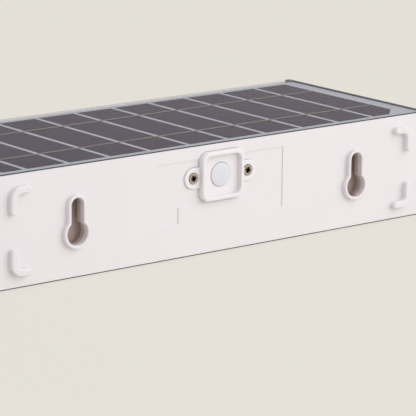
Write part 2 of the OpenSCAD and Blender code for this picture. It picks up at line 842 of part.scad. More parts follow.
module board_screws() {
    color("silver") for (s = [-1, 1], up = [-1, 1])
        translate([s * (board_w / 2 - board_inset), y_board_back, z_board])
            translate([0, 0, up * (board_h / 2 - board_inset)]) mirror([0, 1, 0]) screw();
}

module switch_body() {
    color("#303032") difference() {
        box(-switch_w / 2, switch_w / 2, y_board, y_switch,
            z_button - switch_w / 2, z_button + switch_w / 2);
        rod_y(0, z_button, y_switch - plunger_in - button_travel - chamber_gap, y_switch + overrun,
            plunger_r + stem_gap);
    }
}

module switch_plunger() {
    color("#1c1c1e") rod_y(0, z_button, y_switch - plunger_in, y_stem, plunger_r);
}

module charge_chip() {
    color("#202022") translate([chip_x - chip[0] / 2, y_board_back - chip[1], z_parts - chip[2] / 2])
        cube(chip);
}

module inductor() {
    color("#3c3c3e") rod_y(inductor_x, z_parts, y_board_back - inductor_h, y_board_back, inductor_r);
}

module capacitor() {
    color("#2c3350") rod_y(capacitor_x, z_parts, y_board_back - capacitor_h, y_board_back, capacitor_r);
}

module board_parts() {
    color("#8a7a66") for (i = [0:tiny_columns - 1], j = [0:tiny_rows - 1])
        translate([tiny_x + i * tiny_step_x, y_board_back - tiny[1], z_parts + (j - 1) * tiny_step_z])
            cube(tiny);
}

module plug_places() {
    for (i = [0, 1, 2]) translate([x_socket + i * socket_pitch, 0, z_socket]) children();
}

module board_sockets() {
    color("#e8e4d8") plug_places()
        box(-socket_w / 2, socket_w / 2, y_socket, y_board_back, -socket_h / 2, socket_h / 2);
}

module lead_plugs() {
    color("#f0ece0") plug_places()
        box(-socket_w / 2 + fit, socket_w / 2 - fit, y_plugs, y_socket,
            -socket_h / 2 + fit, socket_h / 2 - fit);
}

module battery_cell() {
    color("#2f62a8") translate([x_cell_start, y_cell, z_cell]) rotate([0, 90, 0])
        cylinder(h = cell_len, r = cell_r);
}

module cell_guard_board() {
    color("#2f6b3f") translate([x_cell_end, y_cell, z_cell]) rotate([0, 90, 0])
        cylinder(h = guard_t, r = cell_r - guard_t);
}

module battery_clamp() {
    foot_z = wall + clamp_boss_h;
    outer = clamp_r + clamp_t;
    color("#e8e8e6") translate([x_cell, y_cell, 0]) difference() {
        bar(-clamp_w / 2, clamp_w / 2) difference() {
            union() {
                translate([0, z_cell]) circle(r = outer);
                translate([-outer, foot_z]) square([2 * outer, z_cell - foot_z]);
                translate([-outer - clamp_foot, foot_z]) square([2 * (outer + clamp_foot), clamp_t]);
            }
            translate([0, z_cell]) circle(r = clamp_r);
            translate([-clamp_r, 0]) square([2 * clamp_r, z_cell]);
            translate([-outer, 0]) square([2 * outer, foot_z]);
        }
        for (s = [-1, 1]) translate([0, s * clamp_y, 0]) cylinder(h = z_cell, r = screw_r + free_gap);
    }
}

module clamp_screws() {
    color("silver") for (s = [-1, 1])
        translate([x_cell, y_cell + s * clamp_y, wall + clamp_boss_h + clamp_t]) rotate([90, 0, 0])
            screw(clamp_boss_h + clamp_t);
}

// Two leads from a start to the plug at place i
module lead_pair(i, start, spread, way, side, first, second) {
    x_plug = x_socket + i * socket_pitch;
    for (s = [-1, 1]) color(s < 0 ? first : second)
        lead(start + s * spread, way, [x_plug + s * lead_pitch / 2, y_plugs, z_socket], [0, -1, 0], side);
}

module battery_leads() {
    lead_pair(0, [x_cell_end + guard_t, y_cell, z_cell], [0, 0, lead_pitch / 2], [1, 0, 0], [0, 0, 1],
        "#b02020", "#202020");
}

module panel_leads() {
    start = [x_socket + 2 * socket_pitch + panel_lead_side, y_plugs - panel_lead_front, z_strip - panel_t];
    lead_pair(2, start, [lead_pitch / 2, 0, 0], [0, 0, -1], [1, 0, 0], "#b02020", "#202020");
}

module led_leads() {
    start = [lead_window_steps * led_pitch, y_led_board, z_light];
    lead_pair(1, start, [lead_pitch / 2, 0, 0], [0, 1, 0], [0, 0, 1], "#e0e0e0", "#202020");
}

body_shell();
rear_cover();
rear_seal();
panel_board();
panel_tape();
solar_cells();
busbar_ribbons();
panel_film();
front_lens();
lens_seal();
reflector();
led_board();
led_chips();
led_screws();
button_bezel();
bezel_screws();
push_button();
button_seal();
main_board();
board_screws();
switch_body();
switch_plunger();
charge_chip();
inductor();
capacitor();
board_parts();
board_sockets();
lead_plugs();
battery_cell();
cell_guard_board();
battery_clamp();
clamp_screws();
battery_leads();
panel_leads();
led_leads();
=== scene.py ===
# Solar fence light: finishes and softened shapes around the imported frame
import json
import math

import bmesh
import bpy
from mathutils import Matrix, Vector

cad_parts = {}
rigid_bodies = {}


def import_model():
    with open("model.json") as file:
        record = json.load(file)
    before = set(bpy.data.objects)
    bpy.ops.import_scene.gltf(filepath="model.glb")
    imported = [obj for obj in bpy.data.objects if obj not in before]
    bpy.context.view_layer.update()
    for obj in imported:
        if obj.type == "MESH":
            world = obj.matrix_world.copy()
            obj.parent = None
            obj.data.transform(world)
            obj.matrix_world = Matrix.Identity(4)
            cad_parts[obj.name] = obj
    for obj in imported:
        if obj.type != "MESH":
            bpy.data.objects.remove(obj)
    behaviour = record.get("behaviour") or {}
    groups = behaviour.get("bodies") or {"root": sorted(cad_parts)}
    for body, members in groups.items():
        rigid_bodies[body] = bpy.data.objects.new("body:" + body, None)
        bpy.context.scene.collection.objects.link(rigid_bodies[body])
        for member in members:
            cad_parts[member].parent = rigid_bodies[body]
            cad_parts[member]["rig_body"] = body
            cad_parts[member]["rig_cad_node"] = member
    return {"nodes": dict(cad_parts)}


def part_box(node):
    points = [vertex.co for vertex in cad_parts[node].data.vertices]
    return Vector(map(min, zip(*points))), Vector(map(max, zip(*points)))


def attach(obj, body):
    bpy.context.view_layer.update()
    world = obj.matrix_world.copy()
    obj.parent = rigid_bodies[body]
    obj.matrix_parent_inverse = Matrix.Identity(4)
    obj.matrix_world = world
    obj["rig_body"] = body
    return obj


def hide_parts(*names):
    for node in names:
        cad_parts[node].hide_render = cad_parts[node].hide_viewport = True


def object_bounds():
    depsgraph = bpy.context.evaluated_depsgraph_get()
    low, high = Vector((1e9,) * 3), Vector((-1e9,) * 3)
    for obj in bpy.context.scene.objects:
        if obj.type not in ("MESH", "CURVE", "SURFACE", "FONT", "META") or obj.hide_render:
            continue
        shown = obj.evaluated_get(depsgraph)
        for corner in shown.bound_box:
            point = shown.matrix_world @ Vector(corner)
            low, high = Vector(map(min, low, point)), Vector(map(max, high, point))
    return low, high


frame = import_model()
cad_low, cad_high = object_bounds()
nodes = frame["nodes"]

# One millimetre, in the scene's metres
MM = 0.001

# Camera: place in millimetres, direction and roll in degrees, and the lens on a 36 mm sensor
CAMERA_PLACE = (491.513, 653.122, 201.571)
CAMERA_AZIMUTH = 141.7674
CAMERA_ELEVATION = 13.3327
CAMERA_ROLL = 0.5715
CAMERA_LENS = 219.945
SENSOR = 36
NEAREST = 0.05

# Studio: backdrop and floor colour, and the light that comes from all sides
BACKDROP = "#E6E2D9"
AMBIENT = "#FAFCFF"
AMBIENT_STRENGTH = 0.7
FLOOR_SIZE = 8
FLOOR_DROP = 0.05 * MM
# Share of the backdrop's own colour that the floor shows the camera; the rest takes the shadow
FLOOR_SHARE = 0.85
# Key light: the way to it from the object's middle, its distance and side in metres, its watts
KEY_WAY = (-0.45, 0.75, 0.5)
KEY_DISTANCE = 1.6
KEY_SIDE = 2.0
KEY_POWER = 17.8

# Sizes of the part that its boxes don't give, in millimetres
RIB_HEIGHT = 2
KEY_RIM_HEIGHT = 1.6
KEYHOLE_X = 56.5
BEZEL_WIDTH = 17
BUTTON_RADIUS = 3.75
LED_COUNT = 12
LED_LENGTH = 3.5

# Places read from the frame, in millimetres
rib_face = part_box("rear_cover")[1].y / MM
wall_face = rib_face - RIB_HEIGHT
key_face = wall_face + KEY_RIM_HEIGHT
bezel_low, bezel_high = (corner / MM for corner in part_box("button_bezel"))

# Patterns and painted shade that only the materials show. Lengths are in millimetres; a START
# and a FULL are depths under the face of the cover's wall, and the two last DEPTHs are under the
# screws' heads. A SHARE or a TONE is a part of 1, and the two for the CAN are parts of its radius
# The pocket's reach and depths set the painted shade in the keyhole pockets
POCKET_SHADE_REACH = 5
POCKET_SHADE_START = 0.1
POCKET_SHADE_FULL = 1
# The seam's depths set the painted shade along the housing's rear seam
SEAM_SHADE_START = 1.6
SEAM_SHADE_FULL = 1.1
WEAVE_PITCH = 0.5
STRIP_DRIFT = 14
FINGER_PITCH = 1.5
FINGER_WIDTH = 0.15
FINGER_SHARE = 0.05
FOAM_CELL = 0.25
PHOSPHOR_HALF_LENGTH = 1.3
PHOSPHOR_HALF_HEIGHT = 1.0
PHOSPHOR_BLUR = 0.05
# The cross's and head's reaches, tone and depths set the painted shade on the screws' heads
CROSS_REACH = 0.7
HEAD_SHADE_REACH = 1.25
HEAD_SHADE_TONE = 0.12
HEAD_SHADE_DEPTH = 0.3
HEAD_LIT_DEPTH = 0.05
VIA_PITCH = 4
VIA_SHARE = 0.1
BATCH_PITCH = 4
CAN_STRIPE = 0.8
CAN_TOP = 0.82
CELL_END_RADIUS = 7.6
CELL_RING_RADIUS = 8.4

# Rounding of the edges and where it applies, in millimetres
RIB_ROUND = 0.6
KEY_RIM_ROUND = 0.42
COVER_ROUND = 0.15
COVER_ROUND_DEPTH = 1.5
BEZEL_OUTER_ROUND = 0.6
BEZEL_INNER_ROUND = 0.3
BEZEL_HOLE_ROUND = 0.08
BEZEL_EAR_ROUND = 0.2
BEZEL_OUTER_BAND = 1
BEZEL_HOLE_REACH = 4.4
RIM_ROUND = 0.35
SHELL_ROUND = 0.15

# The button's face falls by CROWN millimetres at its edge, by that power of the distance from the
# middle; its outer BARREL millimetres are wider by the factor BARREL_SWELL. A TOUCH is how far in
# millimetres a point may be from the face or ring that it belongs to
CROWN = 0.32
CROWN_POWER = 5
CROWN_RINGS = 3
FACE_TOUCH = 0.01
RING_TOUCH = 0.02
BARREL = 1.2
BARREL_SWELL = 1.035
# Room between the clear laminate's layers and the cells and ribbons, in millimetres
FILM_VEIL = 0.02

# Points closer than this are one, in metres; angles in degrees
MERGE = 0.001 * MM
FLAT_ANGLE = 0.5
SHARP_ANGLE = 30
SMOOTH_ANGLE = 40
# Two places on a face of the part are the same within this, in millimetres
SAME = 0.05
# A face looks along an axis when the axis's share of its normal is above FACING, and is square to
# the axis when the share is above LEVEL
FACING = 0.5
LEVEL = 0.99


def linear(hex_colour):
    """An sRGB hex colour as linear red, green, blue and a full alpha."""
    shares = [int(hex_colour[i:i + 2], 16) / 255 for i in (1, 3, 5)]
    return [s / 12.92 if s <= 0.04045 else ((s + 0.055) / 1.055) ** 2.4 for s in shares] + [1.0]


def add(tree, kind, inputs=None, **settings):
    """A node with its settings; inputs maps a socket to a value or to the output that feeds it."""
    node = tree.nodes.new(kind)
    for name, value in settings.items():
        setattr(node, name, value)
    for socket, value in (inputs or {}).items():
        if isinstance(value, bpy.types.NodeSocket):
            tree.links.new(value, node.inputs[socket])
        else:
            node.inputs[socket].default_value = value
    return node


def seen_share(tree):
    """1 for rays from the camera, reflections and clear parts, and 0 for the light on surfaces."""
    path = add(tree, "ShaderNodeLightPath")
    both = add(tree, "ShaderNodeMath", {0: path.outputs["Is Camera Ray"],
                                        1: path.outputs["Is Glossy Ray"]}, operation="ADD")
    return add(tree, "ShaderNodeMath", {0: both.outputs[0], 1: path.outputs["Is Transmission Ray"]},
               operation="ADD", use_clamp=True).outputs[0]


def make_camera():
    camera = bpy.data.objects.new("camera", bpy.data.cameras.new("camera"))
    camera.data.lens = CAMERA_LENS
    camera.data.sensor_width = SENSOR
    camera.data.clip_start = NEAREST
    camera.matrix_world = (Matrix.Translation(Vector(CAMERA_PLACE) * MM)
                           @ Matrix.Rotation(math.radians(CAMERA_AZIMUTH), 4, "Z")
                           @ Matrix.Rotation(math.radians(90 - CAMERA_ELEVATION), 4, "X")
                           @ Matrix.Rotation(math.radians(CAMERA_ROLL), 4, "Z"))
    bpy.context.scene.collection.objects.link(camera)
    bpy.context.scene.camera = camera


def make_world():
    world = bpy.data.worlds.new("studio")
    world.use_nodes = True
    tree = world.node_tree
    light = tree.nodes["Background"]
    light.inputs["Color"].default_value = linear(AMBIENT)
    light.inputs["Strength"].default_value = AMBIENT_STRENGTH
    backdrop = add(tree, "ShaderNodeBackground", {"Color": linear(BACKDROP), "Strength": 1})
    mix = add(tree, "ShaderNodeMixShader", {0: seen_share(tree), 1: light.outputs[0],
                                            2: backdrop.outputs[0]})
    tree.links.new(mix.outputs[0], tree.nodes["World Output"].inputs["Surface"])
    bpy.context.scene.world = world


def make_floor():
    bpy.ops.mesh.primitive_plane_add(size=FLOOR_SIZE, location=(0, 0, -FLOOR_DROP))
    floor = bpy.context.object
    floor.name = "floor"
    paper = bpy.data.materials.new("paper_floor")
    paper.use_nodes = True
    tree = paper.node_tree
    shader = tree.nodes["Principled BSDF"]
    shader.inputs["Base Color"].default_value = linear(BACKDROP)
    shader.inputs["Roughness"].default_value = 1
    shader.inputs["Specular IOR Level"].default_value = 0
    plain = add(tree, "ShaderNodeEmission", {"Color": linear(BACKDROP), "Strength": 1})
    share = add(tree, "ShaderNodeMath", {0: seen_share(tree), 1: FLOOR_SHARE}, operation="MULTIPLY")
    mix = add(tree, "ShaderNodeMixShader", {0: share.outputs[0], 1: shader.outputs[0],
                                            2: plain.outputs[0]})
    tree.links.new(mix.outputs[0], tree.nodes["Material Output"].inputs["Surface"])
    floor.data.materials.append(paper)


def make_lamp():
    """A square soft box that faces the object's middle."""
    lamp = bpy.data.objects.new("key_box", bpy.data.lights.new("key_box", "AREA"))
    lamp.data.size = KEY_SIDE
    lamp.data.energy = KEY_POWER
    way = Vector(KEY_WAY).normalized()
    middle = (cad_low + cad_high) / 2
    lamp.matrix_world = (Matrix.Translation(middle + way * KEY_DISTANCE)
                         @ way.to_track_quat("Z", "Y").to_matrix().to_4x4())
    bpy.context.scene.collection.objects.link(lamp)


make_camera()
make_world()
make_floor()
make_lamp()

bpy.context.scene.view_settings.view_transform = "Standard"


def new_finish(name, colour, roughness, **sockets):
    """A material with one shader; its tree and shader are returned for the pattern."""
    material = bpy.data.materials.new(name)
    material.use_nodes = True
    shader = material.node_tree.nodes["Principled BSDF"]
    shader.inputs["Base Color"].default_value = linear(colour)
    shader.inputs["Roughness"].default_value = roughness
    for socket, value in sockets.items():
        shader.inputs[socket].default_value = value
    return material, material.node_tree, shader


def drift(tree, low, high, size, detail=2):
    """A colour that drifts between two tones in patches of that size, in metres."""
    place = add(tree, "ShaderNodeTexCoord")
    noise = add(tree, "ShaderNodeTexNoise", {"Vector": place.outputs["Object"], "Scale": 1 / size,
                                             "Detail": detail})
    return add(tree, "ShaderNodeMix", {"Factor": noise.outputs["Fac"], "A": linear(low),
                                       "B": linear(high)}, data_type="RGBA").outputs["Result"]


def mottle(tree, shader, low, high, size, detail=2):
    tree.links.new(drift(tree, low, high, size, detail), shader.inputs["Base Color"])


def grain(tree, shader, pitch, depth):
    """Fine grain left by the mould, as bump of that pitch and depth, in metres."""
    place = add(tree, "ShaderNodeTexCoord")
    noise = add(tree, "ShaderNodeTexNoise", {"Vector": place.outputs["Object"], "Scale": 1 / pitch,
                                             "Detail": 2})
    bump = add(tree, "ShaderNodeBump", {"Height": noise.outputs["Fac"], "Distance": depth})
    tree.links.new(bump.outputs["Normal"], shader.inputs["Normal"])


def uneven_gloss(tree, shader, low, high, size):
    """Roughness that varies in patches of that size, as handling and the mould leave it."""
    place = add(tree, "ShaderNodeTexCoord")
    noise = add(tree, "ShaderNodeTexNoise", {"Vector": place.outputs["Object"], "Scale": 1 / size,
                                             "Detail": 3})
    span = add(tree, "ShaderNodeMapRange", {"Value": noise.outputs["Fac"], "To Min": low,
                                            "To Max": high})
    tree.links.new(span.outputs[0], shader.inputs["Roughness"])


def split_place(tree):
    """The place on the object, with an output for each of X, Y and Z."""
    place = add(tree, "ShaderNodeTexCoord")
    return add(tree, "ShaderNodeSeparateXYZ", {"Vector": place.outputs["Object"]}).outputs


def upright_place(tree):
    """The place on the object, turned so that a flat pattern lies on its X and Z."""
    place = add(tree, "ShaderNodeTexCoord")
    return add(tree, "ShaderNodeMapping", {"Vector": place.outputs["Object"],
                                           "Rotation": (math.pi / 2, 0, 0)}).outputs[0]


def away(tree, length, middle):
    """How far a length is from that middle, to either side."""
    off = add(tree, "ShaderNodeMath", {0: length, 1: middle}, operation="SUBTRACT")
    return add(tree, "ShaderNodeMath", {0: off.outputs[0]}, operation="ABSOLUTE").outputs[0]


def from_axis(tree, across, across_middle, up, up_middle):
    """The distance from an axis that runs through those middles."""
    off = add(tree, "ShaderNodeMath", {0: across, 1: across_middle}, operation="SUBTRACT")
    rise = add(tree, "ShaderNodeMath", {0: up, 1: up_middle}, operation="SUBTRACT")
    both = add(tree, "ShaderNodeCombineXYZ", {"X": off.outputs[0], "Y": rise.outputs[0]})
    return add(tree, "ShaderNodeVectorMath", {0: both.outputs[0]},
               operation="LENGTH").outputs["Value"]


def facing(tree, axis):
    """1 on faces that look along that axis, either way, and 0 on the others."""
    normal = add(tree, "ShaderNodeSeparateXYZ",
                 {"Vector": add(tree, "ShaderNodeNewGeometry").outputs["Normal"]})
    share = add(tree, "ShaderNodeMath", {0: normal.outputs[axis]}, operation="ABSOLUTE")
    return add(tree, "ShaderNodeMath", {0: share.outputs[0], 1: FACING},
               operation="GREATER_THAN").outputs[0]


def paint(tree, shader, share, first, second):
    """Gives the shader the first colour, and the second one where the share is 1."""
    mix = add(tree, "ShaderNodeMix", {"Factor": share, "A": first, "B": second}, data_type="RGBA")
    tree.links.new(mix.outputs["Result"], shader.inputs["Base Color"])


def white_abs():
    # White ABS with spark-eroded mould grain: matt with a faint sheen; painted shade makes the
    # keyhole pockets brownish grey, darker with depth below the wall's face
    material, tree, shader = new_finish("white_moulded_abs", "#E8E2E5", roughness=0.5, IOR=1.53)
    spot = split_place(tree)
    wide = add(tree, "ShaderNodeMath", {0: spot["X"]}, operation="ABSOLUTE")
    inside = add(tree, "ShaderNodeMath", {0: away(tree, wide.outputs[0], KEYHOLE_X * MM),
                                          1: POCKET_SHADE_REACH * MM}, operation="LESS_THAN")
    depth = add(tree, "ShaderNodeMapRange", {"Value": spot["Y"],
                                             "From Min": (wall_face - POCKET_SHADE_START) * MM,
                                             "From Max": (wall_face - POCKET_SHADE_FULL) * MM})
    share = add(tree, "ShaderNodeMath", {0: inside.outputs[0], 1: depth.outputs[0]},
                operation="MULTIPLY")
    paint(tree, shader, share.outputs[0], drift(tree, "#E6E0E3", "#EAE4E7", size=30 * MM),
          linear("#C6B4AC"))
    uneven_gloss(tree, shader, low=0.44, high=0.56, size=8 * MM)
    grain(tree, shader, pitch=0.5 * MM, depth=0.006 * MM)
    return material


def bezel_abs():
    # The same resin from a finer tool: a slightly brighter, smoother white
    material, tree, shader = new_finish("bright_white_abs", "#EBE6E8", roughness=0.42, IOR=1.53)
    mottle(tree, shader, "#EAE5E7", "#EDE8EA", size=10 * MM)
    uneven_gloss(tree, shader, low=0.38, high=0.48, size=5 * MM)
    grain(tree, shader, pitch=0.35 * MM, depth=0.004 * MM)
    return material


def grey_abs():
    # Dark grey ABS, satin from the mould, a little paler where handling has polished it, and darker
    # along the rear seam with painted shade
    material, tree, shader = new_finish("dark_grey_abs", "#6A666D", roughness=0.5, IOR=1.45)
    seam_shade = add(tree, "ShaderNodeMapRange", {"Value": split_place(tree)["Y"],
                                            "From Min": (wall_face - SEAM_SHADE_START) * MM,
                                            "From Max": (wall_face - SEAM_SHADE_FULL) * MM})
    paint(tree, shader, seam_shade.outputs[0], drift(tree, "#67636A", "#6D6970", size=20 * MM),
          linear("#26242A"))
    uneven_gloss(tree, shader, low=0.42, high=0.55, size=10 * MM)
    grain(tree, shader, pitch=0.5 * MM, depth=0.006 * MM)
    return material


def panel_laminate():
    # White glass-fibre laminate under the panel's resin: a cool pale grey with a faint weave
    material, tree, shader = new_finish("white_glass_fibre_laminate", "#BABCC4",
                                        roughness=0.2, IOR=1.06)
    place = add(tree, "ShaderNodeTexCoord")
    weave = add(tree, "ShaderNodeTexChecker", {"Vector": place.outputs["Object"],
                                               "Scale": 1 / (WEAVE_PITCH * MM),
                                               "Color1": linear("#B8BAC2"),
                                               "Color2": linear("#BCBEC6")})
    tree.links.new(weave.outputs["Color"], shader.inputs["Base Color"])
    uneven_gloss(tree, shader, low=0.16, high=0.26, size=12 * MM)
    return material


def silicon():
    # Monocrystalline silicon under clear resin: purplish near black, its coating drifting a little
    # in tone over the wafer, with the fine silver fingers that cross each strip
    material, tree, shader = new_finish("monocrystalline_silicon", "#40364A",
                                        roughness=0.14, IOR=1.08)
    step = add(tree, "ShaderNodeMath", {0: split_place(tree)["Y"], 1: FINGER_PITCH * MM},
               operation="FLOORED_MODULO")
    finger = add(tree, "ShaderNodeMath", {0: step.outputs[0], 1: FINGER_WIDTH * MM},
                 operation="LESS_THAN")
    mark = add(tree, "ShaderNodeMath", {0: finger.outputs[0], 1: FINGER_SHARE},
               operation="MULTIPLY")
    paint(tree, shader, mark.outputs[0], drift(tree, "#3B3145", "#433950", size=STRIP_DRIFT * MM),
          linear("#5E5960"))
    return material


def tinned_copper():
    # Solder-tinned copper ribbon: pale and warm, uneven where the solder flowed
    material, tree, shader = new_finish("tinned_copper_ribbon", "#8E8680", roughness=0.3, IOR=1.06)
    mottle(tree, shader, "#89817B", "#938B85", size=6 * MM)
    uneven_gloss(tree, shader, low=0.2, high=0.4, size=2 * MM)
    return material


def clear_film():
    # Polyester film, thin and clear, which only veils what it covers, with a faint ripple
    material, tree, shader = new_finish("clear_polyester_film", "#2C2E33", roughness=0.12, IOR=1.1,
                                        Alpha=0.03)
    mottle(tree, shader, "#2A2C31", "#2E3035", size=20 * MM)
    grain(tree, shader, pitch=6 * MM, depth=0.01 * MM)
    return material


def frosted_lens():
    # Polycarbonate frosted on the inside: milky grey, letting the diodes show only faintly
    material, tree, shader = new_finish("frosted_polycarbonate", "#BFC1C8", roughness=0.4, IOR=1.3,
                                        Alpha=0.3)
    mottle(tree, shader, "#BCBEC5", "#C2C4CB", size=8 * MM)
    grain(tree, shader, pitch=0.2 * MM, depth=0.004 * MM)
    return material


def button_silicone():
    # Translucent silicone: soft bluish white, slightly glossy where fingers press
    material, tree, shader = new_finish("moulded_silicone", "#DDDDE3", roughness=0.35, IOR=1.41)
    mottle(tree, shader, "#DADAE0", "#E1E1E7", size=3 * MM)
    uneven_gloss(tree, shader, low=0.3, high=0.42, size=1.5 * MM)
    return material


def seal_silicone():
    # Grey silicone rubber: dull, with a bloom of fine dust
    material, tree, shader = new_finish("grey_silicone_rubber", "#8A8D90", roughness=0.6, IOR=1.41)
    mottle(tree, shader, "#83868A", "#929598", size=4 * MM, detail=4)
    grain(tree, shader, pitch=0.4 * MM, depth=0.01 * MM)
    return material


def foam_tape():
    # Acrylic foam tape: dark grey, with the closed cells of the foam in its edge
    material, tree, shader = new_finish("acrylic_foam_tape", "#3C3D40", roughness=0.8)
    place = add(tree, "ShaderNodeTexCoord")
    cells = add(tree, "ShaderNodeTexVoronoi", {"Vector": place.outputs["Object"],
                                               "Scale": 1 / (FOAM_CELL * MM)})
    paint(tree, shader, cells.outputs["Distance"], linear("#34353A"), linear("#46474B"))
    bump = add(tree, "ShaderNodeBump", {"Height": cells.outputs["Distance"],
                                        "Distance": 0.05 * MM})
    tree.links.new(bump.outputs["Normal"], shader.inputs["Normal"])
    return material


def reflector_white():
    # High-reflectance white ABS: cleaner and glossier than the cover, to throw the light forward
    material, tree, shader = new_finish("high_gloss_white_abs", "#F0F0EE", roughness=0.22, IOR=1.53)
    mottle(tree, shader, "#EEEEEC", "#F2F2F0", size=15 * MM)
    uneven_gloss(tree, shader, low=0.16, high=0.3, size=4 * MM)
    return material


def white_board():
    # Aluminium board under white solder mask: copper tracks stand under the mask as pale bands,
    # and the bare metal's grey shows on the cut edges
    material, tree, shader = new_finish("white_solder_mask_board", "#E6E7E4",
                                        roughness=0.4, IOR=1.5)
    tracks = add(tree, "ShaderNodeTexBrick", {"Vector": upright_place(tree), "Scale": 1,
                                              "Brick Width": 13 * MM, "Row Height": 4 * MM,
                                              "Mortar Size": 0.3 * MM,
                                              "Color1": linear("#E8E9E6"),
                                              "Color2": linear("#E1E3DE"),
                                              "Mortar": linear("#D2D4CF")})
    paint(tree, shader, facing(tree, "Y"), linear("#A5A8AB"), tracks.outputs["Color"])
    return material


def led_phosphor():
    # White resin package with a yellow phosphor window on each diode
    material, tree, shader = new_finish("phosphor_in_white_resin", "#EFEFEA",
                                        roughness=0.35, IOR=1.5)
    low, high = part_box("led_chips")
    pitch = (high.x - low.x - LED_LENGTH * MM) / (LED_COUNT - 1)
    spot = split_place(tree)
    shifted = add(tree, "ShaderNodeMath", {0: spot["X"], 1: low.x + (LED_LENGTH * MM - pitch) / 2},
                  operation="SUBTRACT")
    step = add(tree, "ShaderNodeMath", {0: shifted.outputs[0], 1: pitch},
               operation="FLOORED_MODULO")
    window_x, window_z = (
        add(tree, "ShaderNodeMapRange", {"Value": away(tree, length, middle),
                                         "From Min": (half + PHOSPHOR_BLUR) * MM,
                                         "From Max": (half - PHOSPHOR_BLUR) * MM})
        for length, middle, half in ((step.outputs[0], pitch / 2, PHOSPHOR_HALF_LENGTH),
                                     (spot["Z"], (low.z + high.z) / 2, PHOSPHOR_HALF_HEIGHT)))
    window = add(tree, "ShaderNodeMath", {0: window_x.outputs[0], 1: window_z.outputs[0]},
                 operation="MULTIPLY")
    paint(tree, shader, window.outputs[0], drift(tree, "#EDEDE8", "#F2F2EE", size=2 * MM),
          drift(tree, "#E3BE3A", "#EBCB55", size=0.4 * MM))
    return material


def nickel():
    # Nickel-plated steel, a little tarnished, with painted shade down in the cross and round it
    material, tree, shader = new_finish("nickel_plated_steel", "#B0A496",
                                        roughness=0.34, Metallic=1.0)
    low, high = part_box("bezel_screws")
    spot = split_place(tree)
    wide = add(tree, "ShaderNodeMath", {0: spot["X"]}, operation="ABSOLUTE")
    reach = from_axis(tree, wide.outputs[0], high.x - (high.z - low.z) / 2,
                      spot["Z"], (low.z + high.z) / 2)
    ring = add(tree, "ShaderNodeMapRange", {"Value": reach, "From Min": CROSS_REACH * MM,
                                            "From Max": HEAD_SHADE_REACH * MM, "To Min": HEAD_SHADE_TONE,
                                            "To Max": 1})
    depth = add(tree, "ShaderNodeMapRange", {"Value": spot["Y"],
                                             "From Min": high.y - HEAD_SHADE_DEPTH * MM,
                                             "From Max": high.y - HEAD_LIT_DEPTH * MM})
    unshaded = add(tree, "ShaderNodeMath", {0: ring.outputs[0], 1: depth.outputs[0]},
                operation="MULTIPLY")
    paint(tree, shader, unshaded.outputs[0], linear("#16110E"),
          drift(tree, "#B4A69C", "#C2B4A8", size=1 * MM))
    return material


def zinc():
    # Zinc-plated steel: bright bluish grey, dulled in patches
    material, tree, shader = new_finish("zinc_plated_steel", "#B9BEC4",
                                        roughness=0.35, Metallic=1.0)
    mottle(tree, shader, "#AAB0B8", "#C4C9CE", size=1.2 * MM, detail=4)
    uneven_gloss(tree, shader, low=0.28, high=0.5, size=0.8 * MM)
    return material


def circuit_board():
    # Green solder mask over copper tracks, with the yellowish glass-fibre core on the cut edges
    material, tree, shader = new_finish("green_solder_mask_board", "#1F5A34",
                                        roughness=0.35, IOR=1.5)
    upright = upright_place(tree)
    tracks = add(tree, "ShaderNodeTexBrick", {"Vector": upright, "Scale": 1, "Bias": -0.4,
                                              "Brick Width": 5.5 * MM, "Row Height": 1.9 * MM,
                                              "Mortar Size": 0.18 * MM,
                                              "Color1": linear("#1F5A34"),
                                              "Color2": linear("#1A4E2D"),
                                              "Mortar": linear("#3C8452")})
    holes = add(tree, "ShaderNodeTexVoronoi", {"Vector": upright, "Scale": 1 / (VIA_PITCH * MM)})
    via = add(tree, "ShaderNodeMath", {0: holes.outputs["Distance"], 1: VIA_SHARE},
              operation="LESS_THAN")
    copper = add(tree, "ShaderNodeMix", {"Factor": via.outputs[0], "A": tracks.outputs["Color"],
                                         "B": linear("#B9A56A")}, data_type="RGBA")
    paint(tree, shader, facing(tree, "Z"), copper.outputs["Result"], linear("#A89B5C"))
    bump = add(tree, "ShaderNodeBump", {"Height": tracks.outputs["Fac"], "Distance": 0.03 * MM})
    tree.links.new(bump.outputs["Normal"], shader.inputs["Normal"])
    return material


def black_component():
    # Black moulded epoxy: fine matt texture with slightly shiny patches where it left the tool
    material, tree, shader = new_finish("black_moulded_epoxy", "#1E1E1F", roughness=0.5, IOR=1.5)
    mottle(tree, shader, "#1A1A1B", "#242425", size=1 * MM, detail=4)
    uneven_gloss(tree, shader, low=0.35, high=0.65, size=1.5 * MM)
    grain(tree, shader, pitch=0.12 * MM, depth=0.006 * MM)
    return material


def capacitor_sleeve():
    # Dark sleeve with a pale stripe down one side, and the bare aluminium top inside its lip
    material, tree, shader = new_finish("sleeved_aluminium_can", "#20262F", roughness=0.35, IOR=1.5)
    low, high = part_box("capacitor")
    radius = (high.x - low.x) / 2
    middle = (low + high) / 2
    spot = split_place(tree)
    stripe = add(tree, "ShaderNodeMath", {0: spot["X"], 1: middle.x + radius * CAN_STRIPE},
                 operation="GREATER_THAN")
    sleeve = add(tree, "ShaderNodeMix", {"Factor": stripe.outputs[0],
                                         "A": drift(tree, "#1D232C", "#242B35", size=2 * MM),
                                         "B": linear("#B8BCC2")}, data_type="RGBA")
    top = add(tree, "ShaderNodeMath", {0: from_axis(tree, spot["X"], middle.x, spot["Z"], middle.z),
                                       1: radius * CAN_TOP}, operation="LESS_THAN")
    paint(tree, shader, top.outputs[0], sleeve.outputs["Result"], linear("#C4C7CA"))
    tree.links.new(top.outputs[0], shader.inputs["Metallic"])
    return material


